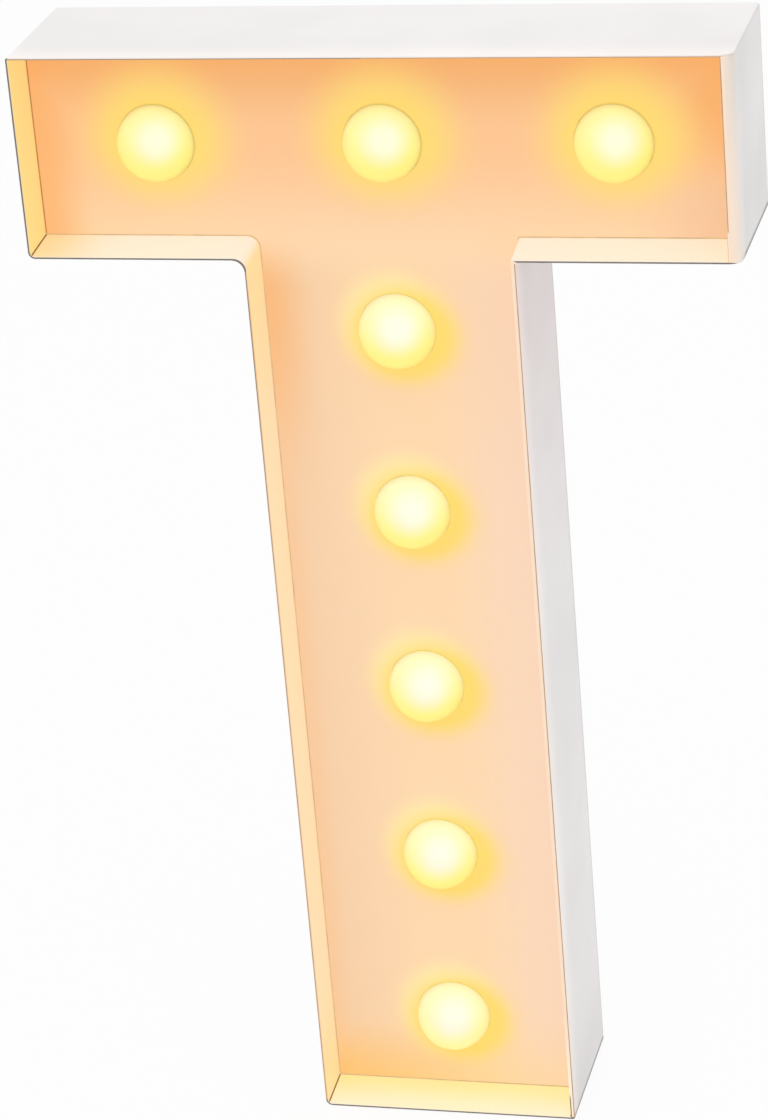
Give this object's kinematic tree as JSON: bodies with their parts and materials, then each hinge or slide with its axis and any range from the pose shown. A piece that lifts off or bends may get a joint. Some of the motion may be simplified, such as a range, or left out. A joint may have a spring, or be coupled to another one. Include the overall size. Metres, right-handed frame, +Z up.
{
  "type": "letter lamp",
  "caption": "Free-standing T-shaped marquee letter lamp: white open tray with glowing domes, battery bay, hinged door and slide switch behind.",
  "frame": {"origin": "under the middle of the foot, on the surface that the letter stands on", "axes": "+Z up along the stem, +X to the right along the bar as seen from the front, -Y out of the open front"},
  "size_m": [0.134, 0.031, 0.22],
  "materials": {
    "shell_white": "white moulded plastic, satin",
    "cover_white": "white moulded plastic, fine texture",
    "dome_warm": "translucent warm white plastic, lit",
    "led_clear": "clear epoxy",
    "steel": "zinc plated",
    "contact_metal": "nickel plated",
    "slider_grey": "dark moulded plastic",
    "phenolic": "brown phenolic",
    "board": "green solder mask",
    "black_plastic": "black",
    "cell_wrap": "plain printed wrap",
    "wire_red": "red insulation",
    "wire_black": "black insulation"
  },
  "bodies": {
    "letter": {"front_shell": "shell_white", "back_cover": "cover_white", "cover_screws": "steel", "switch_frame": "steel", "switch_base": "phenolic", "switch_terminals": "contact_metal", "switch_screws": "steel", "bar_board": "board", "stem_board": "board", "led_leads": "contact_metal", "resistors": "black_plastic", "cell_left": "cell_wrap", "cell_right": "cell_wrap", "spring_lower": "contact_metal", "spring_upper": "contact_metal", "contact_bridge": "contact_metal", "contact_positive": "contact_metal", "contact_negative": "contact_metal", "wire_positive": "wire_red", "wire_switched": "wire_red", "wire_negative": "wire_black", "wire_link_positive": "wire_red", "wire_link_negative": "wire_black", "dome_bar_1": "dome_warm", "dome_bar_2": "dome_warm", "dome_bar_3": "dome_warm", "dome_stem_1": "dome_warm", "dome_stem_2": "dome_warm", "dome_stem_3": "dome_warm", "dome_stem_4": "dome_warm", "dome_stem_5": "dome_warm", "led_bar_1": "led_clear", "led_bar_2": "led_clear", "led_bar_3": "led_clear", "led_stem_1": "led_clear", "led_stem_2": "led_clear", "led_stem_3": "led_clear", "led_stem_4": "led_clear", "led_stem_5": "led_clear"},
    "door": {"battery_door": "cover_white"},
    "slider": {"switch_slider": "slider_grey"}
  },
  "joints": [
    {"name": "door_swing", "type": "hinge", "parent": "letter", "child": "door", "pos_m": [0, 0.01413, 0.0835], "axis": [1, 0, 0], "range_deg": [0, 80]},
    {"name": "switch_slide", "type": "slide", "parent": "letter", "child": "slider", "axis": [-1, 0, 0], "range_m": [0, 0.004]}
  ]
}
